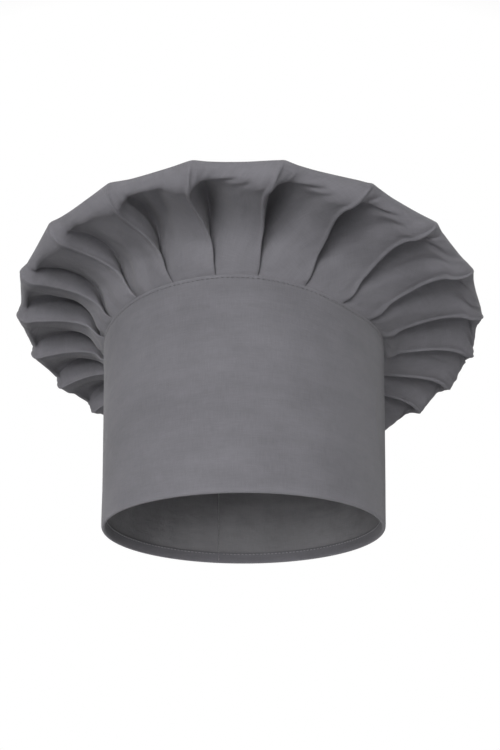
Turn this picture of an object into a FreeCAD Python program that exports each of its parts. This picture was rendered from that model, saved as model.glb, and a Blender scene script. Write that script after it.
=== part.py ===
"""Chef toque: a pleated round crown on a tall stiffened band, closed behind by hook-and-loop tape.

Millimetres, +Z up. The origin is the centre of the head opening, level with the band's lower edge.
The wearer faces -Y. The band stands on its lower edge and widens a little upwards. At the back it has
a slit under a flap, and the flap peels open about its sewn root.
"""
import FreeCAD
import Part

import math
import os

import Sketcher

doc = FreeCAD.newDocument("toque")

# Driving dimensions. Lengths are in millimetres and angles in degrees, turned from +X towards +Y.
DIMENSIONS = {
    # band, from the head outwards: hem lip, lining, interlining, outer cloth
    "opening_radius": 90.2,
    "lip_thick": 1.0,
    "cloth_thick": 0.5,
    "stiffener_thick": 0.8,
    "band_height": 132.0,
    "band_flare": 0.056,  # growth of every layer's radius for each millimetre of height
    "lip_height": 7.0,
    "seam_allowance": 12.0,
    # slit at the back of the band, under the flap
    "slit_azimuth": 102.6,
    "slit_width": 2.0,
    "slit_top": 98.0,
    # crown: the seam's tail, then a pouf as thick as cloth that is folded on itself in pleats
    "tail_thick": 0.6,
    "crown_thick": 1.2,
    "crown_lift": 0.4,
    "rim_radius": 161.0,
    "rim_height": 138.0,
    "rim_round": 10.0,
    "crown_top": 208.0,
    # closure: loop tape on the band, hook tape under the flap
    "tape_thick": 0.8,
    "tape_gap": 0.9,
    "tape_bottom": 9.0,
    "tape_top": 94.0,
    "loop_start": 105.5,
    "loop_arc": 36.0,
    "hook_start": 120.0,
    "hook_arc": 12.5,
    "flap_start": 101.4,
    "flap_arc": 32.6,
    "flap_bottom": 3.0,
    "flap_top": 104.0,
    "flap_stiffener": 0.6,
    "flap_edge": 1.5,
    "heel_arc": 1.6,
    "root_radius": 1.1,
    "root_clearance": 0.4,
    # sewing thread
    "thread": 0.4,
    "thread_arc": 0.25,
    "thread_stand": 0.25,
    "stitch_margin": 2.0,
    "stitch_margin_arc": 1.2,
    "hem_margin": 1.0,
    "root_row_start": 97.2,
    "root_row_arc": 2.4,
}

sheet = doc.addObject("Spreadsheet::Sheet", "dims")
for row, (alias, value) in enumerate(DIMENSIONS.items(), start=1):
    sheet.set(f"A{row}", alias)
    sheet.set(f"B{row}", str(value))
    sheet.setAlias(f"B{row}", alias)
doc.recompute()

# Radii at the lower edge, as expressions of the sheet's cells. Every one grows upwards with the flare.
LINING_IN = "dims.opening_radius + dims.lip_thick"
LINING_OUT = LINING_IN + " + dims.cloth_thick"
STIFFENER_OUT = LINING_OUT + " + dims.stiffener_thick"
BAND_OUT = STIFFENER_OUT + " + dims.cloth_thick"
LOOP_OUT = BAND_OUT + " + dims.tape_thick"
HOOK_IN = LOOP_OUT + " + dims.tape_gap"
HOOK_OUT = HOOK_IN + " + dims.tape_thick"
FLAP_SLOT_IN = HOOK_OUT + " + dims.cloth_thick"
FLAP_SLOT_OUT = FLAP_SLOT_IN + " + dims.flap_stiffener"
FLAP_OUT = FLAP_SLOT_OUT + " + dims.cloth_thick"
ROOT_AXIS = BAND_OUT + " + dims.root_clearance + dims.root_radius"
ALLOWANCE_LOW = "dims.band_height - dims.seam_allowance"
CROWN_SEAM = "dims.band_height + dims.crown_lift"


def number(expression):
    """The value of an expression of the sheet's cells."""
    return float(sheet.evalExpression(expression))


def at_height(radius, height):
    """A layer's radius at a height, as an expression."""
    return f"{radius} + dims.band_flare * ({height})"


def wall(inner, outer, low, high):
    """The corners of a layer's section, whose two long sides lean with the band."""
    return [
        (at_height(inner, low), low),
        (at_height(outer, low), low),
        (at_height(outer, high), high),
        (at_height(inner, high), high),
    ]


def new_body(label):
    body = doc.addObject("PartDesign::Body", label)
    body.Label = label
    return body


def new_sketch(body, name, role):
    """A sketch on one of the body's own origin planes."""
    sketch = body.newObject("Sketcher::SketchObject", name)
    face = next(feature for feature in body.Origin.OriginFeatures if feature.Role == role)
    sketch.AttachmentSupport = (face, [""])
    sketch.MapMode = "FlatFace"
    return sketch


def pin(sketch, geometry, end, x, y):
    """Holds a sketch point at two expressions. "0" puts it on the axis."""
    for kind, text, axis in (("DistanceX", x, -2), ("DistanceY", y, -1)):
        if text == "0":
            sketch.addConstraint(Sketcher.Constraint("PointOnObject", geometry, end, axis))
            continue
        bind(sketch, Sketcher.Constraint(kind, -1, 1, geometry, end, number(text)), text)


def bind(sketch, constraint, text):
    """Adds a dimension and gives it its expression."""
    index = sketch.addConstraint(constraint)
    name = f"size{index}"
    sketch.renameConstraint(index, name)
    sketch.setExpression(f"Constraints.{name}", text)


def outline(body, name, role, corners):
    """A closed outline of straight lines through corners given as pairs of expressions."""
    sketch = new_sketch(body, name, role)
    points = [FreeCAD.Vector(number(x), number(y), 0) for x, y in corners]
    count = len(points)
    for i in range(count):
        sketch.addGeometry(Part.LineSegment(points[i], points[(i + 1) % count]), False)
    for i in range(count):
        sketch.addConstraint(Sketcher.Constraint("Coincident", i, 2, (i + 1) % count, 1))
    for i, (x, y) in enumerate(corners):
        pin(sketch, i, 1, x, y)
    return sketch


def turn(body, name, sketch, arc, cut=False):
    """Turns a sketch of the XZ plane about +Z, half of arc to each side of the body's +X."""
    feature = body.newObject("PartDesign::Groove" if cut else "PartDesign::Revolution", name)
    feature.Profile = sketch
    feature.ReferenceAxis = (sketch, ["V_Axis"])
    feature.Midplane = True
    feature.Angle = number(arc)
    feature.setExpression("Angle", arc)
    body.Tip = feature
    return feature


def face_azimuth(body, azimuth):
    """Turns a whole body about +Z, so that its +X looks along azimuth."""
    upright = FreeCAD.Vector(0, 0, 1)
    body.Placement = FreeCAD.Placement(FreeCAD.Vector(), FreeCAD.Rotation(upright, number(azimuth)))
    body.setExpression("Placement.Rotation.Angle", azimuth)


def sector(label, corners, start, arc):
    """A section turned through arc degrees from the azimuth start."""
    body = new_body(label)
    turn(body, label + "_wall", outline(body, label + "_section", "XZ_Plane", corners), arc)
    face_azimuth(body, f"{start} + ({arc}) / 2")
    return body


def cut_slit(body, name):
    """Cuts the slit through a ring, at the body's own +X side only."""
    half = "dims.slit_width / 2"
    corners = [
        (f"-1 * {half}", "-1 * dims.slit_width"),
        (half, "-1 * dims.slit_width"),
        (half, "dims.slit_top"),
        (f"-1 * {half}", "dims.slit_top"),
    ]
    sketch = outline(body, name + "_outline", "YZ_Plane", corners)
    pocket = body.newObject("PartDesign::Pocket", name)
    pocket.Profile = sketch
    pocket.Type = "ThroughAll"
    pocket.Reversed = True
    body.Tip = pocket


def slit_ring(label, corners):
    """A ring of the band with the slit at the back."""
    body = new_body(label)
    turn(body, label + "_ring", outline(body, label + "_section", "XZ_Plane", corners), "360")
    cut_slit(body, label + "_slit")
    face_azimuth(body, "dims.slit_azimuth")
    return body


def thread_frame(label, surface, low, high, start, arc):
    """A line of stitches around a rectangle on a layer's face. surface is the thread's inner radius."""
    body = new_body(label)
    outer = f"{surface} + dims.thread_stand"
    block = outline(body, label + "_section", "XZ_Plane", wall(surface, outer, low, high))
    turn(body, label + "_block", block, arc)
    through = wall(f"{surface} - 1", f"{outer} + 1", f"{low} + dims.thread", f"{high} - dims.thread")
    window = outline(body, label + "_window_section", "XZ_Plane", through)
    turn(body, label + "_window", window, f"{arc} - 2 * dims.thread_arc", cut=True)
    face_azimuth(body, f"{start} + ({arc}) / 2")
    return body


def thread_ring(label, inner, height, flare="dims.band_flare"):
    """A line of stitches all round, at a height, on a face whose radius there is inner."""
    body = new_body(label)
    half = "dims.thread / 2"
    corners = [
        (f"{inner} - {flare} * {half}", f"{height} - {half}"),
        (f"{inner} + dims.thread_stand - {flare} * {half}", f"{height} - {half}"),
        (f"{inner} + dims.thread_stand + {flare} * {half}", f"{height} + {half}"),
        (f"{inner} + {flare} * {half}", f"{height} + {half}"),
    ]
    turn(body, label + "_ring", outline(body, label + "_section", "XZ_Plane", corners), "360")
    return body


def make_band():
    """The band: outer cloth, its lower edge turned up inside as the hem lip, interlining and lining."""
    lip = "dims.lip_height"
    slit_ring(
        "band_outer_cloth",
        [
            ("dims.opening_radius", "0"),
            (BAND_OUT, "0"),
            (at_height(BAND_OUT, "dims.band_height"), "dims.band_height"),
            (at_height(STIFFENER_OUT, "dims.band_height"), "dims.band_height"),
            (at_height(STIFFENER_OUT, "dims.cloth_thick"), "dims.cloth_thick"),
            (at_height(LINING_IN, "dims.cloth_thick"), "dims.cloth_thick"),
            (at_height(LINING_IN, lip), lip),
            ("dims.opening_radius", lip),
        ],
    )
    slit_ring("band_interlining", wall(LINING_OUT, STIFFENER_OUT, "dims.cloth_thick", ALLOWANCE_LOW))
    slit_ring("band_lining_cloth", wall(LINING_IN, LINING_OUT, "dims.cloth_thick", "dims.band_height"))
    seam_stitch = "dims.band_height - dims.stitch_margin"
    thread_ring("crown_seam_thread", at_height(BAND_OUT, seam_stitch), seam_stitch)
    hem_stitch = "dims.lip_height - dims.hem_margin"
    hem = thread_ring("hem_thread", "dims.opening_radius - dims.thread_stand", hem_stitch, flare="0")
    cut_slit(hem, "hem_thread_slit")
    face_azimuth(hem, "dims.slit_azimuth")


def crown_meridian(sketch, first, offset, seam_radius):
    """Draws underside, rim and dome at offset inside the crown's skin. Returns the next free index."""
    shrink = number(offset)
    rim_round = number("dims.rim_round") - shrink
    rim_x = number("dims.rim_radius - dims.rim_round")
    rim_y = number("dims.rim_height")
    top = number("dims.crown_top")
    rise = top - rim_y
    skin_round = number("dims.rim_round")
    dome_radius = (rim_x**2 + rise**2 - skin_round**2) / (2 * (rise - skin_round))
    dome_y = top - dome_radius
    lean = math.atan2(rim_y - dome_y, rim_x)
    seam_y = f"{CROWN_SEAM} + {offset}"
    seam = FreeCAD.Vector(number(seam_radius), number(seam_y), 0)
    floor = FreeCAD.Vector(rim_x, rim_y - rim_round, 0)
    upright = FreeCAD.Vector(0, 0, 1)
    rim_circle = Part.Circle(FreeCAD.Vector(rim_x, rim_y, 0), upright, rim_round)
    dome_circle = Part.Circle(FreeCAD.Vector(0, dome_y, 0), upright, dome_radius - shrink)
    sketch.addGeometry(Part.LineSegment(seam, floor), False)
    sketch.addGeometry(Part.ArcOfCircle(rim_circle, -math.pi / 2, lean), False)
    sketch.addGeometry(Part.ArcOfCircle(dome_circle, lean, math.pi / 2), False)
    underside, rim, dome = first, first + 1, first + 2
    pin(sketch, underside, 1, seam_radius, seam_y)
    sketch.addConstraint(Sketcher.Constraint("Coincident", underside, 2, rim, 1))
    pin(sketch, rim, 3, "dims.rim_radius - dims.rim_round", "dims.rim_height")
    bind(sketch, Sketcher.Constraint("Radius", rim, rim_round), f"dims.rim_round - {offset}")
    sketch.addConstraint(Sketcher.Constraint("Vertical", rim, 1, rim, 3))
    sketch.addConstraint(Sketcher.Constraint("Tangent", rim, 2, dome, 1))
    sketch.addConstraint(Sketcher.Constraint("PointOnObject", dome, 3, -2))
    pin(sketch, dome, 2, "0", f"dims.crown_top - {offset}")
    return first + 3


def make_crown():
    """The crown: one round piece of cloth. Its edge is the tail inside the band, the rest a hollow pouf."""
    body = new_body("crown_cloth")
    sketch = new_sketch(body, "crown_section", "XZ_Plane")
    tail_out = at_height(STIFFENER_OUT, ALLOWANCE_LOW)
    tail_in = f"{tail_out} - dims.tail_thick"
    seam_out = at_height(STIFFENER_OUT, CROWN_SEAM)
    seam_in = f"{seam_out} - dims.tail_thick"
    following = crown_meridian(sketch, 0, "0 * dims.crown_thick", seam_out)
    following = crown_meridian(sketch, following, "dims.crown_thick", seam_in)
    tips = {
        "tail_out": FreeCAD.Vector(number(tail_out), number(ALLOWANCE_LOW), 0),
        "tail_in": FreeCAD.Vector(number(tail_in), number(ALLOWANCE_LOW), 0),
        "seam_out": sketch.Geometry[0].StartPoint,
        "seam_in": sketch.Geometry[3].StartPoint,
        "top_out": sketch.Geometry[2].EndPoint,
        "top_in": sketch.Geometry[5].EndPoint,
    }
    for start, end in (
        ("tail_out", "seam_out"),
        ("tail_in", "tail_out"),
        ("seam_in", "tail_in"),
        ("top_out", "top_in"),
    ):
        sketch.addGeometry(Part.LineSegment(tips[start], tips[end]), False)
    outer_side, foot, inner_side, crest = range(following, following + 4)
    pin(sketch, outer_side, 1, tail_out, ALLOWANCE_LOW)
    pin(sketch, foot, 1, tail_in, ALLOWANCE_LOW)
    for one, one_end, other, other_end in (
        (outer_side, 2, 0, 1),
        (foot, 2, outer_side, 1),
        (inner_side, 1, 3, 1),
        (inner_side, 2, foot, 1),
        (crest, 1, 2, 2),
        (crest, 2, 5, 2),
    ):
        sketch.addConstraint(Sketcher.Constraint("Coincident", one, one_end, other, other_end))
    turn(body, "crown_pouf", sketch, "360")


def make_flap():
    """The closure flap: a cloth case around its interlining, with a round root on the hinge line."""
    low, high = "dims.flap_bottom", "dims.flap_top"
    start, arc = "dims.flap_start", "dims.flap_arc"
    body = new_body("closure_flap_cloth")
    case = outline(body, "flap_section", "XZ_Plane", wall(HOOK_OUT, FLAP_OUT, low, high))
    turn(body, "flap_case", case, arc)
    inside = wall(FLAP_SLOT_IN, FLAP_SLOT_OUT, f"{low} + dims.flap_edge", f"{high} - dims.flap_edge")
    slot = outline(body, "flap_slot_section", "XZ_Plane", inside)
    slot_arc = f"{arc} - 2 * dims.heel_arc"
    turn(body, "flap_slot", slot, slot_arc, cut=True)
    heel = outline(body, "heel_section", "XZ_Plane", wall(ROOT_AXIS, FLAP_OUT, low, high))
    heel.AttachmentOffset = about_z("(dims.flap_arc - dims.heel_arc) / 2")
    turn(body, "flap_heel", heel, "dims.heel_arc")
    add_root_bead(body)
    face_azimuth(body, f"{start} + {arc} / 2")
    sector("closure_flap_interlining", inside, f"{start} + dims.heel_arc", slot_arc)


def about_z(angle):
    """A turn about +Z for a sketch on the XZ plane, whose own second axis is +Z."""
    return FreeCAD.Placement(FreeCAD.Vector(), FreeCAD.Rotation(FreeCAD.Vector(0, 1, 0), -number(angle)))


def add_root_bead(body):
    """A round bead along the hinge line, which leans outwards with the band."""
    lean = math.degrees(math.atan(number("dims.band_flare")))
    side = -number("dims.flap_arc / 2")
    foot = number(at_height(ROOT_AXIS, "dims.flap_bottom"))
    bead = body.newObject("PartDesign::AdditiveCylinder", "root_bead")
    bead.Radius = number("dims.root_radius")
    bead.setExpression("Radius", "dims.root_radius")
    bead.Height = number("dims.flap_top - dims.flap_bottom")
    bead.setExpression("Height", "dims.flap_top - dims.flap_bottom")
    lean_out = FreeCAD.Rotation(FreeCAD.Vector(0, 1, 0), lean)
    to_side = FreeCAD.Rotation(FreeCAD.Vector(0, 0, 1), side)
    start = to_side.multVec(FreeCAD.Vector(foot, 0, number("dims.flap_bottom")))
    bead.Placement = FreeCAD.Placement(start, to_side.multiply(lean_out))
    body.Tip = bead


def make_closure():
    """Loop tape on the band, hook tape under the flap, and the stitches that hold them and the flap."""
    low, high = "dims.tape_bottom", "dims.tape_top"
    flap_low, flap_high = "dims.flap_bottom", "dims.flap_top"
    hook_face = HOOK_IN + " - dims.thread_stand"
    sector("loop_tape", wall(BAND_OUT, LOOP_OUT, low, high), "dims.loop_start", "dims.loop_arc")
    sector("hook_tape", wall(HOOK_IN, HOOK_OUT, low, high), "dims.hook_start", "dims.hook_arc")
    margin, margin_arc = "dims.stitch_margin", "dims.stitch_margin_arc"
    frames = (
        ("loop_tape_thread", LOOP_OUT, low, high, "dims.loop_start", "dims.loop_arc"),
        ("hook_tape_thread", hook_face, low, high, "dims.hook_start", "dims.hook_arc"),
        ("flap_edge_thread", FLAP_OUT, flap_low, flap_high, "dims.flap_start", "dims.flap_arc"),
    )
    for label, surface, bottom, top, start, arc in frames:
        ends = (f"{bottom} + {margin}", f"{top} - {margin}")
        span = (f"{start} + {margin_arc}", f"{arc} - 2 * {margin_arc}")
        thread_frame(label, surface, *ends, *span)
    root_row = ("dims.root_row_start", "dims.root_row_arc")
    thread_frame("flap_root_thread", BAND_OUT, flap_low, flap_high, *root_row)


def check_and_write():
    """Recomputes the document, refuses any broken object, and writes one STEP file for each sub-part."""
    doc.recompute()
    for item in doc.Objects:
        if {"Invalid", "Error"} & set(item.State):
            raise RuntimeError(f"{item.Label} is {item.State}")
    os.makedirs("parts", exist_ok=True)
    for item in doc.Objects:
        if item.TypeId != "PartDesign::Body":
            continue
        shape = item.Shape
        if shape.isNull() or not shape.isValid() or len(shape.Solids) != 1:
            raise RuntimeError(f"{item.Label} is not one valid solid")
        shape.exportStep(f"parts/{item.Label}.step")
        size = shape.BoundBox
        low = (round(size.XMin, 1), round(size.YMin, 1), round(size.ZMin, 1))
        high = (round(size.XMax, 1), round(size.YMax, 1), round(size.ZMax, 1))
        print(f"{item.Label}: {shape.Volume:.0f} mm3, from {low} to {high}")


make_band()
make_crown()
make_flap()
make_closure()
check_and_write()
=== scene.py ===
"""The looks of the chef toque, in metres: pleated crown, stiffened band and hook-and-loop closure."""
import math

import bpy
import numpy as np
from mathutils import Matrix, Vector


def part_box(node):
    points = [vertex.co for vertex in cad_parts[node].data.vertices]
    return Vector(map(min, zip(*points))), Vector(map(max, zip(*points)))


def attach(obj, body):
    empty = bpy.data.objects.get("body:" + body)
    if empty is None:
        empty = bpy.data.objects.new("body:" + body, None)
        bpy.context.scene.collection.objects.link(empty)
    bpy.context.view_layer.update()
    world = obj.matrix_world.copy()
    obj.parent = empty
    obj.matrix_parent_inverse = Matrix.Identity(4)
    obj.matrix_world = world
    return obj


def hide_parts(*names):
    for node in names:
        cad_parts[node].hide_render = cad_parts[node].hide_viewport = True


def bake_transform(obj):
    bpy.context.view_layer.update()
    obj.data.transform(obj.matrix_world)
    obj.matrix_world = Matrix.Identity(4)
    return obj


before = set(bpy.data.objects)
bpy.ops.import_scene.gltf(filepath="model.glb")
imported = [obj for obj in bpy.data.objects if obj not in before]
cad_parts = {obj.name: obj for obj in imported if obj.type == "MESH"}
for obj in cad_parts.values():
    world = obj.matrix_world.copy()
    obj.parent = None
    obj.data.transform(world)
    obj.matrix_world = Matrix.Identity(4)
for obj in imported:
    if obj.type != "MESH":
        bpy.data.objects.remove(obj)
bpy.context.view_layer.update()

MM = 0.001
TURN = 2 * math.pi
SEED = 7

# ---- sizes read from the frame -------------------------------------------------------------------
OUTER_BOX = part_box("band_outer_cloth")
CROWN_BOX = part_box("crown_cloth")
FLAP_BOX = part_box("closure_flap_cloth")
TAPE_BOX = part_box("loop_tape")
HEM_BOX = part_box("hem_thread")
SEAM_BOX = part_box("crown_seam_thread")
BAND_TOP = OUTER_BOX[1].z
BAND_FLARE = 0.056
BAND_OUT = OUTER_BOX[1].x - BAND_FLARE * BAND_TOP  # outer radius at the lower edge
OPENING = HEM_BOX[1].x  # radius of the head opening at the hem lip
FLAP_LOW, FLAP_HIGH = FLAP_BOX[0].z + 0.1 * MM, FLAP_BOX[1].z
TAPE_LOW, TAPE_HIGH = TAPE_BOX[0].z, TAPE_BOX[1].z
SEAM_STITCH = (SEAM_BOX[0].z + SEAM_BOX[1].z) / 2
HEM_STITCH = (HEM_BOX[0].z + HEM_BOX[1].z) / 2

# radii at the lower edge, from the inside outwards
LINING = BAND_OUT - 1.7 * MM
INTERLINING = BAND_OUT - 0.95 * MM
HOOK_OUT = BAND_OUT + 2.5 * MM
FLAP_MIDDLE = BAND_OUT + 3.3 * MM
# azimuths in degrees from +X towards +Y, all at the back
SLIT = 102.6
LOOP_SPAN = (105.5, 141.5)
HOOK_SPAN = (120.0, 132.5)
FLAP_SPAN = (96.4, 134.0)
BEND_SPAN = (99.8, 103.4)
FLAP_RISE = (99.9, 103.8)  # where the flap leaves the band and where it has its full stand
FILLER_SPAN = (BEND_SPAN[1] + 0.6, FLAP_SPAN[1] - 1.4)
ROOT_ROW_SPAN = (97.2, 99.5)
# lengths
FILLER_INSET = 1.6 * MM
SLIT_TOP = FLAP_HIGH - 6 * MM
SLIT_HALF = 0.12 * MM
LIP_STAND = 0.35 * MM  # the hem's inner face, outwards from the opening


# ---- the band's surface --------------------------------------------------------------------------
def bump(x, centre, width):
    """A bell of height 1."""
    return np.exp(-(((x - centre) / width) ** 2))


def smooth(x, low, high):
    """0 below low, 1 above high, with a smooth rise between."""
    t = np.clip((x - low) / (high - low), 0, 1)
    return t * t * (3 - 2 * t)


def front_angle(azimuth):
    """Degrees from the front centre, positive towards +X, from azimuths in degrees."""
    return (np.asarray(azimuth, float) + 90 + 180) % 360 - 180


def sag(azimuth):
    """How far the band's top edge sinks at the wearer's left, where the crown's weight leans."""
    return 7.0 * MM * bump(front_angle(azimuth), 43, 27)


# the pressed creases: height in millimetres, depth in millimetres, middle and half length in degrees
CREASES = ((34, 0.28, -12, 34), (48, 0.22, 26, 30), (61, 0.2, -30, 26), (74, 0.16, 8, 40))


def ease(azimuth, height):
    """Small outward swells and pressed creases of the band's cloth."""
    angle = front_angle(azimuth)
    turn = np.radians(azimuth)
    up = height / BAND_TOP
    swell = 0.5 * np.sin(3 * turn + 0.7 + 1.6 * up) + 0.3 * np.sin(5 * turn + 2.1 - 2.2 * up)
    swell = swell + 0.16 * np.sin(11 * turn + 4 * up) * np.sin(3.1 * up + 1)
    creases = np.zeros_like(swell)
    for level, depth, centre, reach in CREASES:
        line = level * MM + 1.6 * MM * np.sin(2.3 * turn + level)
        creases = creases + depth * bump(height, line, 1.7 * MM) * bump(angle, centre, reach)
    wrinkle = 0.9 * bump(angle, 63 + 5 * np.sin(9 * up), 2.2) * bump(up, 0.52, 0.17)
    allowance = 0.32 * smooth(height, 114.2 * MM, 115.6 * MM) - 0.25 * bump(height, SEAM_STITCH, 0.8 * MM)
    return (0.8 * swell * smooth(up, 0.0, 0.25) + creases + wrinkle + allowance) * MM


def on_band(radius, azimuth, height, extra=0.0):
    """Points of a layer that stands at radius at the lower edge and leans and swells with the band."""
    azimuth, height = np.broadcast_arrays(np.asarray(azimuth, float), np.asarray(height, float))
    turn = np.radians(azimuth)
    reach = radius + BAND_FLARE * height + ease(azimuth, height) + extra
    drop = sag(azimuth) * np.clip(height / BAND_TOP, 0, 1) ** 2
    return np.stack([reach * np.cos(turn), reach * np.sin(turn), height - drop], -1)


# ---- meshes --------------------------------------------------------------------------------------
def new_piece(name, points, faces, flat=None):
    """A mesh object. flat is each point's place on the flat cloth in metres, kept as the UV map."""
    mesh = bpy.data.meshes.new(name)
    mesh.from_pydata([tuple(p) for p in np.asarray(points, float).tolist()], [], faces)
    mesh.update()
    if flat is not None:
        flat = np.asarray(flat, np.float32)
        layer = mesh.uv_layers.new(name="cloth")
        corner = np.empty(len(mesh.loops), np.int32)
        mesh.loops.foreach_get("vertex_index", corner)
        layer.data.foreach_set("uv", flat[corner].ravel())
    mesh.polygons.foreach_set("use_smooth", [True] * len(mesh.polygons))
    piece = bpy.data.objects.new(name, mesh)
    bpy.context.scene.collection.objects.link(piece)
    return piece


def grid_faces(rows, columns, closed=False, skip=None):
    """Quads between a grid's rows. skip(row, column) leaves a quad out."""
    faces = []
    for row in range(rows - 1):
        for column in range(columns if closed else columns - 1):
            if skip and skip(row, column):
                continue
            after = (column + 1) % columns
            low, high = row * columns, (row + 1) * columns
            faces.append((low + column, low + after, high + after, high + column))
    return faces


def store_wear_and_highlight(piece, amount):
    """Keeps how much each vertex is lightened, 0 to 1, for the cloth material: rubbed wear, and along the
    crown's fold ridges also a painted highlight.
    """
    layer = piece.data.attributes.new("wear_and_highlight", "FLOAT", "POINT")
    layer.data.foreach_set("value", np.asarray(amount, np.float32))


def subdivide(piece):
    """Smooths the mesh once and keeps the result as its mesh."""
    modifier = piece.modifiers.new("smooth", "SUBSURF")
    modifier.levels = modifier.render_levels = 1
    bake_modifiers(piece)


def bake_modifiers(piece):
    """The piece's evaluated mesh becomes its mesh."""
    graph = bpy.context.evaluated_depsgraph_get()
    mesh = bpy.data.meshes.new_from_object(piece.evaluated_get(graph), depsgraph=graph)
    piece.modifiers.clear()
    old = piece.data
    piece.data = mesh
    bpy.data.meshes.remove(old)
    mesh.name = piece.name


def stitches(name, path, outward, length=2.2 * MM, gap=0.8 * MM, radius=0.24 * MM, lift=0.06 * MM):
    """A row of single stitches along path: each arches over the cloth and dives into it at both ends."""
    path, outward = np.asarray(path, float), np.asarray(outward, float)
    reach = np.r_[0, np.cumsum(np.linalg.norm(np.diff(path, axis=0), axis=1))]
    count = max(1, int(reach[-1] / (length + gap)))
    sides, rings = 6, 7
    points, faces = [], []
    share = np.linspace(0, 1, rings)
    arch = np.sin(math.pi * share) ** 0.5
    for stitch in range(count):
        start = (stitch + 0.5) * reach[-1] / count - length / 2
        along = start + share * length
        centre = np.stack([np.interp(along, reach, path[:, k]) for k in range(3)], -1)
        normal = np.stack([np.interp(along, reach, outward[:, k]) for k in range(3)], -1)
        normal /= np.linalg.norm(normal, axis=1)[:, None]
        centre = centre + normal * ((arch * 1.6 - 1.1)[:, None] * radius + lift)
        ahead = np.gradient(centre, axis=0)
        ahead /= np.linalg.norm(ahead, axis=1)[:, None]
        side = np.cross(ahead, normal)
        base = len(points)
        for ring in range(rings):
            thick = radius * (0.55 + 0.45 * arch[ring])
            for k in range(sides):
                a = TURN * k / sides
                spoke = math.cos(a) * side[ring] + math.sin(a) * normal[ring]
                points.append(centre[ring] + thick * spoke)
        for ring in range(rings - 1):
            for k in range(sides):
                n = (k + 1) % sides
                low, high = base + ring * sides, base + (ring + 1) * sides
                faces.append((low + k, low + n, high + n, high + k))
        faces.append(tuple(base + k for k in reversed(range(sides))))
        faces.append(tuple(base + (rings - 1) * sides + k for k in range(sides)))
    return new_piece(name, points, faces)


def outwards(azimuth):
    """Unit vectors away from the hat's axis."""
    turn = np.radians(np.asarray(azimuth, float))
    return np.stack([np.cos(turn), np.sin(turn), np.zeros_like(turn)], -1)


# ---- crown ---------------------------------------------------------------------------------------
PLEATS = 23
FIRST_FOLD = 5.5  # degrees from the front centre to one fold's edge
FOLD_STRAY = 1.2  # degrees that a fold may stand away from even spacing


def fold_pitches():
    """Degrees between neighbouring folds: evenly spaced, each a little out of place."""
    stray = np.random.default_rng(SEED + 2).uniform(-FOLD_STRAY, FOLD_STRAY, PLEATS)
    return 360 / PLEATS + np.diff(np.r_[stray, stray[0]])


PITCHES = fold_pitches()
COLUMNS = 24  # of the mesh, to each pleat
SHOULDER_SHARE, TIP_SHARE = 0.3, 0.715  # where along a pleat's columns its shoulder and its fold's tip lie
FOLD_DEPTH = 18  # the deepest a fold gets, in millimetres
OVERLAP_REACH = 12.5 * MM  # from the seam, within which the overlap of two folds fades
OPEN_SHARE = 0.2  # of a panel's width, by which its fold stands back at the rim
SEAM_RADIUS = BAND_OUT + BAND_FLARE * BAND_TOP - 1.9 * MM
SEAM_HEIGHT = BAND_TOP + 0.2 * MM
TUCK = 8 * MM
UNDERSIDE = 62 * MM
RIM_RADIUS = CROWN_BOX[1].x + 7.2 * MM
RIM_HEIGHT = 145.5 * MM
RIM_ROUND = 9.5 * MM
CROWN_TOP = CROWN_BOX[1].z - 5 * MM
UNDERSIDE_ARCH = 5 * MM
LEAN_Y, LEAN_X = -0.069, -0.037  # the crown leans back and to the wearer's left
LEAN_REACH = 12 * MM
SHIFT_X, SHIFT_Y = 3.4 * MM, 11 * MM
ROW_STEP = 4.2 * MM


def crown_meridian():
    """The crown's half section without pleats, and each point's distance from the seam."""
    points = [(SEAM_RADIUS - 0.4 * MM, SEAM_HEIGHT - TUCK), (SEAM_RADIUS, SEAM_HEIGHT)]
    roll = 3.5 * MM
    for turn in np.radians(np.linspace(0, 85, 6)[1:]):
        points.append((SEAM_RADIUS + roll * (1 - math.cos(turn)), SEAM_HEIGHT + roll * math.sin(turn)))
    start_r, start_z = points[-1]
    end_r, end_z = RIM_RADIUS - RIM_ROUND, RIM_HEIGHT - RIM_ROUND
    for t in np.linspace(0, 1, 14)[1:]:
        rise = (end_z - start_z) * t * t * (3 - 2 * t) + UNDERSIDE_ARCH * math.sin(math.pi * t**0.8)
        points.append((start_r + (end_r - start_r) * t, start_z + rise))
    for turn in np.radians(np.linspace(-88, 52, 14)):
        points.append((end_r + RIM_ROUND * math.cos(turn), RIM_HEIGHT + RIM_ROUND * math.sin(turn)))
    edge_r, edge_z = points[-1]
    for t in np.linspace(0, 1, 36)[1:]:
        points.append((edge_r * (1 - t), edge_z + (CROWN_TOP - edge_z) * (1 - (1 - t) ** 2)))
    points = np.array(points)
    reach = np.r_[0, np.cumsum(np.linalg.norm(np.diff(points, axis=0), axis=1))] - TUCK
    return points, reach


def pleat_section(advance, overhang, depth, shoulder, level, crisp, soft, samples=260):
    """One pleat, cut across: from the valley over the panel to its tip, and on to the next valley.

    Gives the places along and inwards, and the share of the cloth's length at each corner."""
    tip = advance + overhang
    corners = np.array([(0, -depth), (shoulder * tip, -(1 - level) * depth), (tip, 0), (advance, -depth)])
    reach = np.r_[0, np.cumsum(np.linalg.norm(np.diff(corners, axis=0), axis=1))]
    place = np.linspace(0, reach[-1], samples, endpoint=False)
    along = np.interp(place, reach, corners[:, 0])
    inward = np.interp(place, reach, corners[:, 1])
    line = advance * place / reach[-1]

    def blur(values, length):
        width = max(1, int(length / reach[-1] * samples))
        kernel = np.hanning(2 * width + 3)[1:-1]
        return np.convolve(np.tile(values, 3), kernel / kernel.sum(), "same")[samples : 2 * samples]

    near_tip = bump(place, reach[2], 0.5 * reach[1] + 0.1 * reach[-1])
    along = line + blur(along - line, crisp) * near_tip + blur(along - line, soft) * (1 - near_tip)
    inward = blur(inward, crisp) * near_tip + blur(inward, soft) * (1 - near_tip)
    return np.r_[along, advance + along[0]], np.r_[inward, inward[0]], reach / reach[-1]


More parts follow.
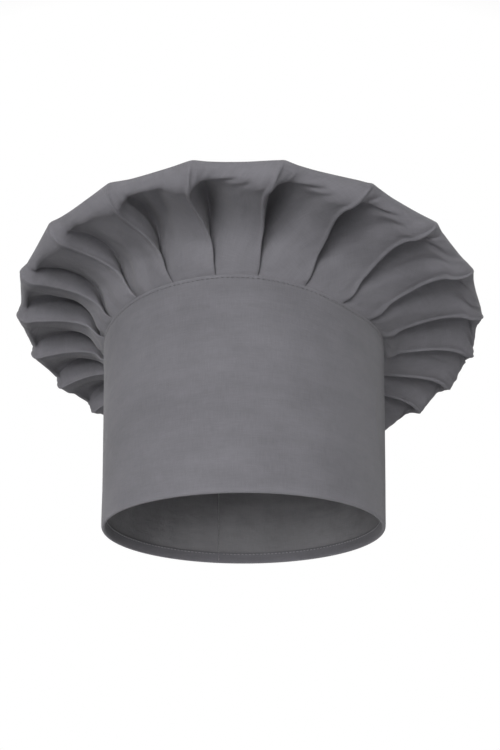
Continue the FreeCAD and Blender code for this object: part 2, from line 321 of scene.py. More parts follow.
def crown_rows(total):
    """Distances from the seam of the mesh's rings, with each ring's number of vertices."""
    count = len(PITCHES) * COLUMNS
    rows = [(-TUCK, count), (-TUCK / 2, count), (0.0, count)]
    reach = 0.0
    while True:
        reach += ROW_STEP * (0.6 if reach < 12 * MM else 1.0 if reach < 100 * MM else 1.6)
        if total - reach < 12 * MM:
            return rows
        limit = ROW_STEP * (0.5 if reach < 100 * MM else 0.7)
        if TURN * (total - reach) / count < limit and count % 2 == 0 and count // 2 >= 40:
            count //= 2
        rows.append((reach, count))


def crown_start():
    """The crown as it is sewn: flat pleats at the seam that open into panels, and a smooth dome."""
    rng = np.random.default_rng(SEED)
    folds = len(PITCHES)
    meridian, reach_of = crown_meridian()
    total = reach_of[-1]
    rows = crown_rows(total)
    width = np.radians(PITCHES) * 360 / PITCHES.sum()
    underlap = math.pi * (total - SEAM_RADIUS) / folds
    share = (2 * underlap + SEAM_RADIUS * width) / total
    flat_start = np.r_[0, np.cumsum(share)[:-1]]
    seam_lead = underlap / SEAM_RADIUS
    first = math.radians(FIRST_FOLD - 90) - seam_lead - width[0]
    deep, hang, stray, crease, place, softness = rng.uniform(-1, 1, (6, folds))
    dents = rng.uniform(-1, 1, (folds, 5, 3))
    # columns stand closer at the tip and the valley
    u = np.linspace(0, 1, 400)
    density = 1 + 1.6 * bump(u, TIP_SHARE, 0.05) + 1.2 * bump(u, 0, 0.05) + 1.2 * bump(u, 1, 0.05)
    spread = np.r_[0, np.cumsum((density[1:] + density[:-1]) / 2)]
    column_share = np.interp(np.arange(COLUMNS) / COLUMNS, spread / spread[-1], u)
    fold_of = np.repeat(np.arange(folds), COLUMNS)
    share_of = np.tile(column_share, folds)
    points, flat, ring_starts, wear_and_highlight = [], [], [], []
    for reach, count in rows:
        stride = len(fold_of) // count
        fold, part = fold_of[::stride], share_of[::stride]
        out = max(reach, 0.0)
        radius = np.interp(reach, reach_of, meridian[:, 0])
        height = np.interp(reach, reach_of, meridian[:, 1])
        before = [np.interp(reach - 1.5 * MM, reach_of, meridian[:, k]) for k in (0, 1)]
        after = [np.interp(reach + 1.5 * MM, reach_of, meridian[:, k]) for k in (0, 1)]
        step = math.hypot(after[0] - before[0], after[1] - before[1])
        normal = ((after[1] - before[1]) / step, -(after[0] - before[0]) / step)
        glide = float(smooth(out, 0, 70 * MM))
        wide = width + (share - width) * glide
        starts = first + np.r_[0, np.cumsum(wide)[:-1]]
        # folds overlap at their feet and stand ever more open towards the rim
        over = math.exp(-((out / OVERLAP_REACH) ** 1.3)) * underlap
        open_share = OPEN_SHARE * float(smooth(out, 10 * MM, 85 * MM))
        depth = FOLD_DEPTH * float(smooth(out, -4.5 * MM, 24 * MM) * (1 - smooth(out, 30 * MM, 93 * MM)))
        upwards = min(out / (80 * MM), 1.0)
        shoulder, level = 0.34 + 0.26 * upwards, 0.82 - 0.22 * upwards
        free = float(smooth(out, 4 * MM, 24 * MM))
        overs = over * (1 + 0.3 * hang * free) - radius * wide * open_share
        lead = -2.7 * float(bump(out, 56 * MM, 28 * MM))
        twist = math.radians(lead) - np.mean(overs / radius - seam_lead) if reach > 0 else 0.0
        turn, lift, laid = np.empty(count), np.empty(count), np.empty(count)
        for k in range(folds):
            here = fold == k
            depths = depth * MM * (1 + 0.28 * deep[k] * free)
            soft = (7 + 3 * softness[k]) * MM if out > 12 * MM else 3 * MM
            crisp = 2.2 * MM + 3.6 * MM * out / (60 * MM)
            advance = radius * wide[k]
            along, inward, marks = pleat_section(advance, overs[k], depths, shoulder, level, crisp, soft)
            q = np.interp(part[here], [0, SHOULDER_SHARE, TIP_SHARE, 1], marks)
            grid = np.linspace(0, 1, len(along))
            turn[here] = starts[k] + twist + np.interp(q, grid, along) / radius
            lift[here] = np.interp(q, grid, inward)
            laid[here] = flat_start[k] + share[k] * q
            # a soft pull line runs from the fold's foot out across the panel
            middle = 0.16 + 0.30 * (out / (60 * MM)) + 0.05 * place[k]
            pull = bump(q, middle, 0.055 + 0.02 * out / (60 * MM))
            pull = pull * bump(out, (36 + 8 * crease[k]) * MM, 20 * MM)
            lift[here] -= (2.6 + 1.5 * stray[k]) * MM * pull
            for across, up, sink in dents[k]:
                centre = (44 + 30 * up) * MM
                place_q = 0.38 + 0.24 * across + 0.1 * (out - centre) / (20 * MM)
                lift[here] += 1.7 * sink * MM * bump(q, place_q, 0.075) * bump(out, centre, 12 * MM)
            # panels at the wearer's right are gathered more finely
            if front_angle(math.degrees(starts[k])) < -45:
                fine = bump(out, 13 * MM, 15 * MM) * np.sin(math.pi * np.clip(q / 0.7, 0, 1))
                lift[here] += 1.5 * MM * fine * np.sin(TURN * (2.6 * q / 0.7 + place[k]))
        if reach <= 15 * MM:
            lift = lift - lift.min() * (1 - out / (15 * MM))
        # slack cloth over the top makes long shallow waves towards the middle
        wave = np.sin(9 * turn + 1.3 * np.sin(2 * turn)) + 0.5 * np.sin(17 * turn + 2.0)
        over_top = smooth(out, 84 * MM, 125 * MM) * (1 - smooth(out, 150 * MM, 235 * MM))
        lift = lift + 1.1 * MM * wave * float(over_top)
        # between two folds the rim runs straight
        tips = np.sort((starts + twist + wide + overs / radius) % TURN)
        tips = np.r_[tips[-1] - TURN, tips, tips[0] + TURN]
        spot = np.searchsorted(tips, turn % TURN, side="right")
        early, late = tips[spot - 1], tips[np.minimum(spot, folds + 1)]
        chord = np.cos((late - early) / 2) / np.cos(turn % TURN - (early + late) / 2) - 1
        at_rim = smooth(out, 38 * MM, 64 * MM) * (1 - smooth(out, 92 * MM, 135 * MM))
        lift = lift + 1.25 * radius * chord * float(at_rim)
        # the folds lean away from the front's middle, at their feet and again where they turn over the rim
        foot = 3.4 * smooth(out, 0, 12 * MM) * (1 - 0.6 * smooth(out, 18 * MM, 55 * MM))
        fan = float(foot + 4.6 * smooth(out, 60 * MM, 90 * MM))
        turn = turn + math.radians(fan) * np.sin(np.radians(front_angle(np.degrees(turn))))
        ring = radius + lift * normal[0]
        x, y = ring * np.cos(turn), ring * np.sin(turn)
        # the lean and the shift grow from nothing at the seam and are full past the underside
        leaning = shifting = 1.0
        if out < UNDERSIDE:
            beyond = max(0.0, radius - SEAM_RADIUS)
            leaning = 1 - math.exp(-beyond / LEAN_REACH)
            shifting = min(1.0, beyond / (RIM_RADIUS - SEAM_RADIUS))
        z = height + lift * normal[1] + leaning * (LEAN_Y * y + LEAN_X * x)
        z = z - sag(np.degrees(turn)) * math.exp(-out / (30 * MM))
        ring_starts.append((len(points), count))
        points += np.stack([x + SHIFT_X * shifting, y + SHIFT_Y * shifting, z], -1).tolist()
        span = total - reach
        flat += np.stack([span * np.cos(laid), span * np.sin(laid)], -1).tolist()
        # lighter along each fold's ridge near the seam: partly rubbed wear, partly a painted highlight of
        # the lit ridge
        wear_and_highlight += (0.5 * bump(part, TIP_SHARE, 0.06) * bump(out, 10 * MM, 30 * MM)).tolist()
    points.append((SHIFT_X, SHIFT_Y, CROWN_TOP))
    flat.append((0, 0))
    wear_and_highlight.append(0)
    faces = []
    for (low, n), (high, m) in zip(ring_starts[:-1], ring_starts[1:]):
        for j in range(m):
            after = (j + 1) % m
            if n == m:
                faces.append((low + j, low + after, high + after, high + j))
            else:
                a, b, c = low + 2 * j, low + 2 * j + 1, low + (2 * j + 2) % n
                faces += [(a, b, high + j), (b, high + after, high + j), (b, c, high + after)]
    last, n = ring_starts[-1]
    faces += [(last + j, last + (j + 1) % n, len(points) - 1) for j in range(n)]
    return np.array(points), np.array(flat), faces, ring_starts, np.array(wear_and_highlight), total


def settle(piece, ring_starts, frames, hold=0.6, swell=0.4):
    """Lets the crown's cloth settle: it swells a little, sags and slides on itself, held by its seam."""
    sewn = {index for start, count in ring_starts[:3] for index in range(start, start + count)}
    held = piece.vertex_groups.new(name="held")
    held.add(sorted(sewn), 1.0, "REPLACE")
    for start, count in ring_starts[3:]:
        held.add(list(range(start, start + count)), hold, "REPLACE")
    still = piece.vertex_groups.new(name="still")
    still.add(sorted(sewn), 1.0, "REPLACE")
    cloth = piece.modifiers.new("cloth", "CLOTH")
    rules = cloth.settings
    rules.quality = 7
    rules.mass = 0.001
    rules.tension_stiffness = rules.compression_stiffness = 5
    rules.shear_stiffness = 6
    rules.bending_stiffness = 0.1
    rules.bending_model = "ANGULAR"
    rules.air_damping = 1
    rules.vertex_group_mass = "held"
    rules.shrink_min = -0.003
    rules.use_pressure = True
    rules.uniform_pressure_force = swell
    rules.effector_weights.gravity = 0.1
    touch = cloth.collision_settings
    touch.use_collision = False
    touch.use_self_collision = True
    touch.self_distance_min = 0.5 * MM
    touch.vertex_group_self_collisions = "still"
    touch.collision_quality = 3
    scene = bpy.context.scene
    scene.frame_start, scene.frame_end = 1, frames
    cloth.point_cache.frame_start, cloth.point_cache.frame_end = 1, frames
    for number in range(1, frames + 1):
        scene.frame_set(number)
    bake_modifiers(piece)
    scene.frame_set(1)
    piece.vertex_groups.clear()


def make_crown():
    points, flat, faces, ring_starts, wear_and_highlight, total = crown_start()
    crown = new_piece("crown", points, faces, flat)
    store_wear_and_highlight(crown, wear_and_highlight)
    settle(crown, ring_starts, frames=6)
    subdivide(crown)
    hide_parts("crown_cloth")
    return crown, total + TUCK


# ---- band ----------------------------------------------------------------------------------------
def slit_azimuths(count=240):
    """Azimuths round the band. The narrow gap from the last back to the first is the slit."""
    half = math.degrees(SLIT_HALF / BAND_OUT)
    return np.linspace(SLIT + half, SLIT + 360 - half, count)


def band_sheet(name, profile, azimuths):
    """A sheet round the head, open at the slit: each row's radius, height and share of swell in profile."""
    rows, columns = len(profile), len(azimuths)
    points, flat = [], []
    length = 0.0
    for index, (radius, height, swell) in enumerate(profile):
        if index:
            length += math.hypot(radius - profile[index - 1][0], height - profile[index - 1][1])
        level = np.full(columns, height)
        place = on_band(radius, azimuths, level, extra=-(1 - swell) * ease(azimuths, level))
        points += place.tolist()
        flat += np.stack([np.radians(azimuths) * BAND_OUT, np.full(columns, length)], -1).tolist()

    def skip(row, column):
        return column == columns - 1 and profile[row][1] < SLIT_TOP

    piece = new_piece(name, points, grid_faces(rows, columns, closed=True, skip=skip), flat)
    return piece, length


def make_band():
    azimuths = slit_azimuths()
    outer = BAND_OUT
    fold_in = 0.55 * MM
    profile = [(outer - fold_in, BAND_TOP - drop * MM, 1) for drop in (7, 5, 3, 1.2, 0.4)]
    for turn in np.radians((135, 90, 45)):
        fold = outer - fold_in / 2 + fold_in / 2 * math.cos(turn)
        profile.append((fold, BAND_TOP + 0.28 * MM * math.sin(turn), 1))
    near_fold = BAND_TOP - np.array((0.5, 1.1, 1.6, 2.1, 2.7, 3.4)) * MM
    heights = np.r_[near_fold, np.linspace(BAND_TOP - 4.8 * MM, 3 * MM, 62)]
    profile += [(outer, height, 1) for height in heights]
    lip = OPENING + LIP_STAND
    middle, half = (outer + lip) / 2, (outer - lip) / 2
    for turn in np.radians(np.linspace(-14, -166, 8)):
        profile.append((middle + half * math.cos(turn), 1.5 * MM * (1 + math.sin(turn)), 0.3))
    # the lip stands upright, so its radius at the lower edge shrinks as it rises
    profile += [(lip - BAND_FLARE * h * MM, h * MM, 0) for h in (2.2, 3.6, 5.0, 6.2, 7.0, 7.8, 8.3)]
    profile.append((lip + (0.25 - BAND_FLARE * 8.6) * MM, 8.6 * MM, 0))
    profile.append((lip + (0.5 - BAND_FLARE * 8) * MM, 8.1 * MM, 0))
    profile.append((lip + (0.55 - BAND_FLARE * 3) * MM, 3 * MM, 0))
    band, length = band_sheet("band_outer", profile, azimuths)
    height = np.repeat([p[1] for p in profile], len(azimuths))
    edges = 0.9 * bump(height, 0, 2.2 * MM) + 0.6 * bump(height, BAND_TOP, 0.9 * MM)
    store_wear_and_highlight(band, edges + 0.35 * bump(height, 115 * MM, 1.2 * MM))
    subdivide(band)
    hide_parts("band_outer_cloth")

    heights = np.linspace(1.6 * MM, BAND_TOP - 1 * MM, 44)
    rows = [(LINING - 0.9 * MM * float(smooth(h, 112 * MM, 124 * MM)), h, 1) for h in heights]
    lining, lining_length = band_sheet("band_lining", rows, azimuths)
    mesh = lining.data
    place = np.array([v.co for v in mesh.vertices])
    around = np.arctan2(place[:, 1], place[:, 0])
    up = np.clip(place[:, 2] / BAND_TOP, 0, 1)
    slack = 0.5 + 0.5 * np.sin(9 * around + 1.2 * np.sin(3 * around) + 1.5 * up)
    slack = slack + 0.35 * np.sin(23 * around + 2 * up + np.sin(5 * around))
    inwards = 2.1 * MM * np.clip(slack, 0, 2) * smooth(up, 0.06, 0.3) * (1 - smooth(up, 0.8, 1.0))
    scale = 1 - inwards / np.hypot(place[:, 0], place[:, 1])
    place[:, :2] *= scale[:, None]
    mesh.vertices.foreach_set("co", place.ravel())
    subdivide(lining)
    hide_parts("band_lining_cloth")

    rows = [(INTERLINING, h, 1) for h in np.linspace(2.2 * MM, BAND_TOP - 12 * MM, 36)]
    filler, filler_length = band_sheet("band_filler", rows, azimuths)
    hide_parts("band_interlining")
    return band, length, lining, lining_length, filler, filler_length


def ring_stitches(name, radius, height, swell=1.0, inside=False, count=720):
    """A stitch row round the band at one height, on the outer or the inner face."""
    half = math.degrees(2.6 * MM / BAND_OUT)
    azimuths = np.linspace(SLIT + half, SLIT + 360 - half, count)
    heights = np.full(count, height)
    path = on_band(radius, azimuths, heights, extra=-(1 - swell) * ease(azimuths, heights))
    normal = outwards(azimuths) * (-1 if inside else 1)
    return stitches(name, path, normal)


# ---- closure -------------------------------------------------------------------------------------
def slab(name, span, heights, middle_of, thick, edge, columns=48, rows=40):
    """A closed cloth or tape piece on the band: two faces that round off and meet along all four edges."""

    def spaced(count, low, high, reach):
        """Places from low to high that stand closer near both ends."""
        inner = np.linspace(low + reach, high - reach, count)
        step = reach * np.array((0, 0.12, 0.35, 0.65))
        return np.r_[low + step, inner, (high - step)[::-1]]

    arc = edge / BAND_OUT * 180 / math.pi
    azimuths = spaced(columns, span[0], span[1], arc)
    levels = spaced(rows, heights[0], heights[1], edge)
    grid_a, grid_h = np.meshgrid(azimuths, levels)
    sideways = np.minimum(grid_a - span[0], span[1] - grid_a) / arc
    upright = np.minimum(grid_h - heights[0], heights[1] - grid_h) / edge
    near = np.clip(np.minimum(sideways, upright), 0, 1)
    swell = np.sqrt(1 - (1 - near) ** 2)
    points, flat = [], []
    for side in (1, -1):
        reach = middle_of(grid_a) + side * thick / 2 * swell
        turn = np.radians(grid_a)
        place = on_band(reach, grid_a, grid_h)
        points += place.reshape(-1, 3).tolist()
        flat += np.stack([turn * BAND_OUT, grid_h + (side < 0) * 0.2], -1).reshape(-1, 2).tolist()
    n, m = len(levels), len(azimuths)
    faces = grid_faces(n, m)
    back = [tuple(n * m + i for i in reversed(face)) for face in grid_faces(n, m)]
    piece = new_piece(name, points, faces + back, flat)
    weld(piece)
    return piece


def weld(piece):
    """Joins the vertices that lie on each other."""
    modifier = piece.modifiers.new("weld", "WELD")
    modifier.merge_threshold = 0.02 * MM
    bake_modifiers(piece)


def frame_path(radius, azimuth_span, height_span, step=1.0 * MM):
    """A closed rectangle on the band's surface, with its outward directions."""
    (a0, a1), (h0, h1) = azimuth_span, height_span
    across = np.linspace(0, 1, max(2, int(math.radians(a1 - a0) * BAND_OUT / step)))
    upward = np.linspace(0, 1, max(2, int((h1 - h0) / step)))
    wide, tall = (a1 - a0) * across, (h1 - h0) * upward
    still, level = np.zeros(len(upward)), np.zeros(len(across))
    azimuths = np.r_[a0 + wide, a1 + still, a1 - wide, a0 + still]
    heights = np.r_[h0 + level, h0 + tall, h1 + level, h1 - tall]
    reach = radius(azimuths) if callable(radius) else radius
    return on_band(reach, azimuths, heights), outwards(azimuths)


def pile(name, span, heights, radius, outward, pitch, hooks):
    """The tape's face: small thread loops, or hooks when hooks is true, in staggered rows on a backing."""
    rng = np.random.default_rng(SEED + int(hooks))
    arc = pitch / BAND_OUT * 180 / math.pi
    azimuths = np.arange(span[0] + arc, span[1] - arc, arc)
    levels = np.arange(heights[0] + pitch, heights[1] - pitch, pitch)
    grid_a, grid_h = np.meshgrid(azimuths, levels)
    grid_a = grid_a + (np.arange(len(levels)) % 2)[:, None] * arc / 2
    tall = (0.75 if hooks else 0.55) * MM
    sweep = np.radians(np.linspace(0, 250 if hooks else 180, 7))
    strand = 0.09 * MM
    points, faces = [], []
    for a, h in zip(grid_a.ravel(), grid_h.ravel()):
        a += rng.uniform(-0.25, 0.25) * arc * (0.3 if hooks else 1)
        h += rng.uniform(-0.25, 0.25) * pitch * (0.3 if hooks else 1)
        yaw = (0.0 if hooks else rng.uniform(-1.2, 1.2))
        root = on_band(radius, a, h)
        out = outwards(a) * (1 if outward else -1)
        side = np.cross([0, 0, 1], out)
        side = side * math.cos(yaw) + np.array([0, 0, 1]) * math.sin(yaw)
        size = tall / 2 * (rng.uniform(0.8, 1.2) if not hooks else 1)
        stem = size if hooks else 0.6 * size
        curve = [root - out * 0.2 * MM + side * size] + [
            root + out * (stem + size * math.sin(t)) + side * size * math.cos(t) for t in sweep
        ]
        if not hooks:
            curve.append(root - out * 0.2 * MM - side * size)
        across = np.cross(side, out)
        base = len(points)
        for k, centre in enumerate(curve):
            ahead = np.asarray(curve[min(k + 1, len(curve) - 1)]) - np.asarray(curve[max(k - 1, 0)])
            ahead = ahead / np.linalg.norm(ahead)
            other = np.cross(ahead, across)
            for j in range(3):
                angle = TURN * j / 3
                points.append(centre + strand * (math.cos(angle) * across + math.sin(angle) * other))
        for k in range(len(curve) - 1):
            low, high = base + 3 * k, base + 3 * k + 3
            for j in range(3):
                n = (j + 1) % 3
                faces.append((low + j, low + n, high + n, high + j))
    return new_piece(name, points, faces)


def flap_middle(azimuth):
    """The flap's middle surface: sewn down flat at its root, then raised over the tapes."""
    root = BAND_OUT + 0.75 * MM
    return root + (FLAP_MIDDLE - root) * smooth(np.asarray(azimuth, float), *FLAP_RISE)


def level_at(radius):
    """A middle surface at one radius all along."""
    return lambda azimuth: radius + 0 * azimuth


def make_closure():
    tape, flap_tall = (TAPE_LOW, TAPE_HIGH), (FLAP_LOW, FLAP_HIGH)
    backing, backing_edge = 0.35 * MM, 0.3 * MM
    loop_middle, hook_middle = level_at(BAND_OUT + 0.22 * MM), level_at(HOOK_OUT - 0.15 * MM)
    loop = slab("loop_tape_backing", LOOP_SPAN, tape, loop_middle, backing, backing_edge)
    loops = pile("loop_tape_loops", LOOP_SPAN, tape, BAND_OUT + 0.36 * MM, True, 1.25 * MM, False)
    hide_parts("loop_tape")
    hook = slab("hook_tape_backing", HOOK_SPAN, tape, hook_middle, backing, backing_edge, 24)
    hooks = pile("hook_tape_hooks", HOOK_SPAN, tape, HOOK_OUT - 0.3 * MM, False, 1.5 * MM, True)
    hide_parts("hook_tape")
    flap = slab("flap_cloth", FLAP_SPAN, flap_tall, flap_middle, 1.5 * MM, 1.5 * MM, 80, 56)
    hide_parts("closure_flap_cloth")
    inside = (FLAP_LOW + FILLER_INSET, FLAP_HIGH - FILLER_INSET)
    filler = slab("flap_filler", FILLER_SPAN, inside, level_at(FLAP_MIDDLE), 0.5 * MM, 0.3 * MM, 40)
    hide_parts("closure_flap_interlining")

    margin, margin_arc = 2 * MM, 1.2

    def row_round(span, tall):
        """The rectangle that a row of stitches follows inside a piece."""
        return (span[0] + margin_arc, span[1] - margin_arc), (tall[0] + margin, tall[1] - margin)

    def over_flap(azimuth):
        return flap_middle(azimuth) + 0.72 * MM

    path, normal = frame_path(BAND_OUT + 0.62 * MM, *row_round(LOOP_SPAN, tape))
    loop_thread = stitches("loop_tape_stitches", path, normal, lift=0.1 * MM)
    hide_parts("loop_tape_thread")
    path, normal = frame_path(HOOK_OUT - 0.5 * MM, *row_round(HOOK_SPAN, tape))
    hook_thread = stitches("hook_tape_stitches", path, -normal, lift=0.1 * MM)
    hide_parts("hook_tape_thread")
    edge_span = (BEND_SPAN[1] - 0.6, FLAP_SPAN[1] - margin_arc)
    path, normal = frame_path(over_flap, edge_span, (FLAP_LOW + margin, FLAP_HIGH - margin))
    edge_thread = stitches("flap_edge_stitches", path, normal)
    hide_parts("flap_edge_thread")
    root_tall = (FLAP_LOW + 1.2 * MM, FLAP_HIGH - 1.2 * MM)
    path, normal = frame_path(over_flap, ROOT_ROW_SPAN, root_tall)
    root_thread = stitches("flap_root_stitches", path, normal)
    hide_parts("flap_root_thread")
    return loop, loops, hook, hooks, flap, filler, loop_thread, hook_thread, edge_thread, root_thread


# ---- materials -----------------------------------------------------------------------------------
class Nodes:
    """Short calls for a material's nodes."""

    def __init__(self, name):
        self.material = bpy.data.materials.new(name)
        self.material.use_nodes = True
        self.tree = self.material.node_tree
        self.shader = self.tree.nodes["Principled BSDF"]

    def add(self, kind, inputs=None, **settings):
        node = self.tree.nodes.new(kind)
        for key, value in settings.items():
            setattr(node, key, value)
        for key, value in (inputs or {}).items():
            if isinstance(value, bpy.types.NodeSocket):
                self.tree.links.new(value, node.inputs[key])
            else:
                node.inputs[key].default_value = value
        return node

    def math(self, operation, a, b=None, c=None):
        node = self.tree.nodes.new("ShaderNodeMath")
        node.operation = operation
        for index, value in enumerate((a, b, c)):
            if value is None:
                continue
            if isinstance(value, bpy.types.NodeSocket):
                self.tree.links.new(value, node.inputs[index])
            else:
                node.inputs[index].default_value = value
        return node.outputs[0]

    def noise(self, vector, scale, detail=2.0, **more):
        """Noise over vector. more holds further sockets of the node by name."""
        inputs = {"Vector": vector, "Scale": scale, "Detail": detail, **more}
        return self.add("ShaderNodeTexNoise", inputs).outputs["Fac"]

    def stretched(self, vector, scale):
        return self.add("ShaderNodeMapping", {"Vector": vector, "Scale": scale}).outputs["Vector"]

    def turned(self, vector, angles):
        return self.add("ShaderNodeMapping", {"Vector": vector, "Rotation": angles}).outputs["Vector"]

    def objects_own(self):
        return self.add("ShaderNodeTexCoord").outputs["Object"]

    def roughness(self, value, low, high):
        """Roughness from low to high as value goes from 0 to 1."""
        spread = self.add("ShaderNodeMapRange", {"Value": value, "To Min": low, "To Max": high})
        self.link(spread.outputs["Result"], "Roughness")

    def relief(self, height, distance, strength, under=None):
        """A bump from height, on top of the bump given as under."""
        inputs = {"Height": height, "Distance": distance, "Strength": strength}
        if under is not None:
            inputs["Normal"] = under
        return self.add("ShaderNodeBump", inputs).outputs["Normal"]

    def tint(self, tone, low, dark, high, light):
        """The base colour from dark, where tone is low, to light, where it is high."""
        self.link(self.ramp(tone, (low, dark), (high, light)), "Base Color")

    def link(self, source, target):
        self.tree.links.new(source, self.shader.inputs[target])

    def ramp(self, factor, *stops):
        node = self.add("ShaderNodeValToRGB", {"Fac": factor})
        elements = node.color_ramp.elements
        while len(elements) < len(stops):
            elements.new(0.5)
        for element, (place, colour) in zip(elements, stops):
            element.position = place
            element.color = (*colour, 1)
        return node.outputs["Color"]


def shade(colour, factor):
    """A darker or lighter version of a colour."""
    return tuple(min(1, c * factor) for c in colour)


def cloth_material(name, colour, weave_pitch=0.62 * MM, sheen=0.08, mottle=0.10):
    """Dyed cotton twill: diagonal ribs of uneven yarns, faded unevenly, with a soft sheen."""
    n = Nodes(name)
    uv = n.add("ShaderNodeUVMap", uv_map="cloth").outputs["UV"]
    drift = n.noise(uv, 350.0)
    wave = {"Vector": n.turned(uv, (0, 0, math.radians(58))), "Scale": 0.314 / weave_pitch}
    wave.update({"Distortion": 1.2, "Detail": 1.0, "Detail Scale": 2.0})
    twill = n.add("ShaderNodeTexWave", wave).outputs["Fac"]
    warp = n.noise(n.stretched(uv, (1800, 130, 1)), 1.0)
    weft = n.noise(n.stretched(uv, (130, 1800, 1)), 1.0)
    fade = n.noise(uv, 28.0, 5.0, Roughness=0.6)
    wash = n.noise(n.stretched(uv, (22, 170, 1)), 1.0, 3.0)
    wear_and_highlight = n.add("ShaderNodeAttribute", attribute_name="wear_and_highlight").outputs["Fac"]
    yarn = n.math("ADD", n.math("MULTIPLY", warp, 0.5), n.math("MULTIPLY", weft, 0.5))
    tone = n.math("ADD", n.math("MULTIPLY", fade, 0.5), n.math("MULTIPLY", wash, 0.2))
    tone = n.math("ADD", tone, n.math("MULTIPLY", n.math("SUBTRACT", yarn, 0.25), 0.5))
    tone = n.math("ADD", tone, n.math("MULTIPLY", twill, 0.1))
    # lighter where the vertices are marked: rubbed wear on the band's edges, wear with a painted highlight
    # on the crown's fold ridges
    tone = n.math("MULTIPLY_ADD", wear_and_highlight, 0.12, tone)
    low, high = shade(colour, 1 - 2.2 * mottle), shade(colour, 1 + 2.2 * mottle)
    n.link(n.ramp(tone, (0.28, low), (0.5, colour), (0.74, high)), "Base Color")
    n.roughness(tone, 0.95, 0.78)
    threads = n.math("ADD", n.math("MULTIPLY", twill, 0.6), n.math("MULTIPLY", yarn, 0.5))
    threads = n.math("ADD", threads, n.math("MULTIPLY", drift, 0.3))
    weave = n.relief(threads, 0.00016, 0.8)
    crumple = n.noise(n.stretched(uv, (55, 90, 1)), 1.0, 3.0, Roughness=0.45)
    n.link(n.relief(crumple, 0.0016, 0.6, under=weave), "Normal")
    n.shader.inputs["Sheen Weight"].default_value = sheen
    n.shader.inputs["Sheen Roughness"].default_value = 0.5
    n.shader.inputs["Specular IOR Level"].default_value = 0.12
    return n.material


def thread_material(name, colour):
    """Two-ply sewing thread: a fine twist along each stitch."""
    n = Nodes(name)
    place = n.objects_own()
    wave = {"Vector": n.turned(place, (0.6, 0.5, 0.7)), "Scale": 700.0, "Distortion": 0.6}
    twist = n.add("ShaderNodeTexWave", wave).outputs["Fac"]
    patch = n.noise(place, 220.0)
    tone = n.math("ADD", n.math("MULTIPLY", twist, 0.5), n.math("MULTIPLY", patch, 0.5))
    n.tint(tone, 0.25, shade(colour, 0.72), 0.75, shade(colour, 1.25))
    n.roughness(patch, 0.5, 0.75)
    n.link(n.relief(twist, 0.00008, 0.7), "Normal")
    n.shader.inputs["Sheen Weight"].default_value = 0.15
    return n.material


def felt_material(name, colour):
    """Bonded interlining: short matted fibres pressed into a sheet."""
    n = Nodes(name)
    place = n.objects_own()
    fibre = n.noise(place, 900.0, 4.0, Distortion=2.0)
    mat = n.add("ShaderNodeTexVoronoi", {"Vector": place, "Scale": 420.0}).outputs["Distance"]
    tone = n.math("ADD", n.math("MULTIPLY", fibre, 0.7), n.math("MULTIPLY", mat, 0.3))
    n.tint(tone, 0.3, shade(colour, 0.8), 0.7, shade(colour, 1.1))
    n.roughness(fibre, 0.85, 0.98)
    n.link(n.relief(tone, 0.0001, 0.6), "Normal")
    return n.material


def tape_material(name, colour, gloss):
    """Woven nylon tape or its moulded strands, with slight streaks along the weft."""
    n = Nodes(name)
    place = n.objects_own()
    wave = {"Vector": place, "Scale": 480.0, "Distortion": 0.5}
    rows = n.add("ShaderNodeTexWave", wave, bands_direction="Z").outputs["Fac"]
    streak = n.noise(n.stretched(place, (60, 60, 900)), 1.0, 3.0)
    tone = n.math("ADD", n.math("MULTIPLY", rows, 0.35), n.math("MULTIPLY", streak, 0.65))
    n.tint(tone, 0.25, shade(colour, 0.7), 0.75, shade(colour, 1.3))
    n.roughness(streak, gloss - 0.1, gloss + 0.15)
    n.link(n.relief(tone, 0.0001, 0.7), "Normal")
    return n.material


# ---- putting it together -------------------------------------------------------------------------
def dress(pieces, material):
    for piece in pieces:
        piece.data.materials.clear()
        piece.data.materials.append(material)


def studio():
    """A pale floor far below the hanging hat, white surroundings and two soft lights."""
    half, floor_z = 2.2, -0.45
    corners = [(x, y, floor_z) for x, y in ((-half, -half), (half, -half), (half, half), (-half, half))]
    floor = new_piece("floor", corners, [(0, 1, 2, 3)])
    n = Nodes("floor_paper")
    n.tint(n.noise(n.objects_own(), 90.0, 4.0), 0.3, (0.90, 0.90, 0.90), 0.7, (0.93, 0.93, 0.93))
    n.shader.inputs["Roughness"].default_value = 0.9
    floor.data.materials.append(n.material)
    scene = bpy.context.scene
    world = bpy.data.worlds.new("studio")
    scene.world = world
    world.use_nodes = True
    background = world.node_tree.nodes["Background"]
    # a white wall behind the hat and a dimmer room in front of it
    tree = world.node_tree
    way = tree.nodes.new("ShaderNodeTexCoord")
    parts = tree.nodes.new("ShaderNodeSeparateXYZ")
    tree.links.new(way.outputs["Generated"], parts.inputs["Vector"])
    spread = tree.nodes.new("ShaderNodeMapRange")
    tree.links.new(parts.outputs["Y"], spread.inputs["Value"])
    for socket, value in (("From Min", 0.25), ("From Max", 0.55), ("To Min", 0.48), ("To Max", 1.0)):
        spread.inputs[socket].default_value = value
    tree.links.new(spread.outputs["Result"], background.inputs["Strength"])
    background.inputs["Color"].default_value = (1, 1, 1, 1)
    for name, place, size, power in (
        ("key", (-0.36, -1.62, -0.1), 0.7, 35.0),
        ("fill", (-0.2, -1.1, 1.5), 0.9, 8.0),
    ):
        light = bpy.data.lights.new(name, "AREA")
        light.size = size
        light.energy = power
        lamp = bpy.data.objects.new(name, light)
        scene.collection.objects.link(lamp)
        lamp.location = place
        lamp.rotation_euler = (Vector((0, 0, 0.1)) - Vector(place)).to_track_quat("-Z", "Y").to_euler()
    scene.view_settings.view_transform = "Standard"


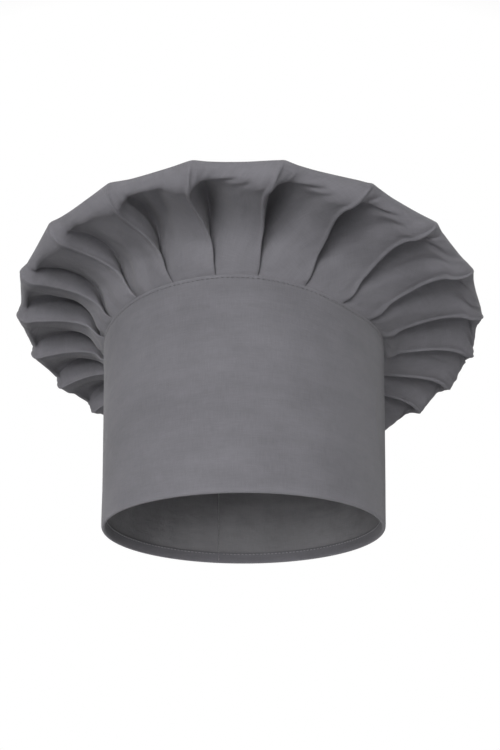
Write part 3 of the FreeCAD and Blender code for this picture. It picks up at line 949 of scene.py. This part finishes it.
def camera():
    """A close camera just under the hat's lower edge that looks up at it."""
    lens = bpy.data.cameras.new("camera")
    lens.sensor_width = 36
    lens.lens = 30.59
    lens.shift_x, lens.shift_y = 0.0087, 0.1493
    lens.clip_start = 0.02
    seen = bpy.data.objects.new("camera", lens)
    bpy.context.scene.collection.objects.link(seen)
    seen.location = (0, -0.4135, -0.105)
    seen.rotation_euler = (math.radians(90 + 18.6), 0, 0)
    bpy.context.scene.camera = seen


crown, disc = make_crown()
band, band_length, lining, lining_length, filler, filler_length = make_band()
seam_thread = ring_stitches("crown_seam_stitches", BAND_OUT + 0.05 * MM, SEAM_STITCH)
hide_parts("crown_seam_thread")
HEM_ROW = HEM_STITCH + 1.2 * MM
HEM_RADIUS = OPENING + LIP_STAND - BAND_FLARE * 7.2 * MM
hem_thread = ring_stitches("hem_stitches", HEM_RADIUS, HEM_ROW, swell=0.0, inside=True)
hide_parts("hem_thread")
(
    loop_tape, loops, hook_tape, hooks, flap, flap_filler,
    loop_thread, hook_thread, flap_thread, root_thread,
) = make_closure()

TWILL = cloth_material("grey_twill", (0.082, 0.080, 0.088))
dress([crown, band, flap], TWILL)
dress([lining], cloth_material("lining_cloth", (0.120, 0.118, 0.124), 0.5 * MM, 0.05))
dress([filler, flap_filler], felt_material("interlining_felt", (0.55, 0.55, 0.54)))
# one mid-grey thread in two copies: a darker one with painted shade for the crown seam and the flap's rows,
# a lighter one with painted light for the hem and the tapes' rows
THREAD_PAINTED_SHADE = thread_material("thread_painted_shade", (0.034, 0.033, 0.037))
THREAD_PAINTED_LIGHT = thread_material("thread_painted_light", (0.15, 0.148, 0.155))
dress([seam_thread, flap_thread, root_thread], THREAD_PAINTED_SHADE)
dress([hem_thread, loop_thread, hook_thread], THREAD_PAINTED_LIGHT)
dress([loop_tape, loops], tape_material("loop_nylon", (0.05, 0.05, 0.055), 0.7))
dress([hook_tape, hooks], tape_material("hook_nylon", (0.045, 0.045, 0.05), 0.45))

ON_HAT = (crown, band, lining, filler, seam_thread, hem_thread, loop_tape, loops, loop_thread, root_thread)
ON_FLAP = (hook_tape, hooks, hook_thread, flap_filler)
for piece in ON_HAT:
    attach(piece, "hat")
for piece in ON_FLAP:
    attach(piece, "closure_flap")
for piece in (flap, flap_thread):
    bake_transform(piece)

studio()
camera()
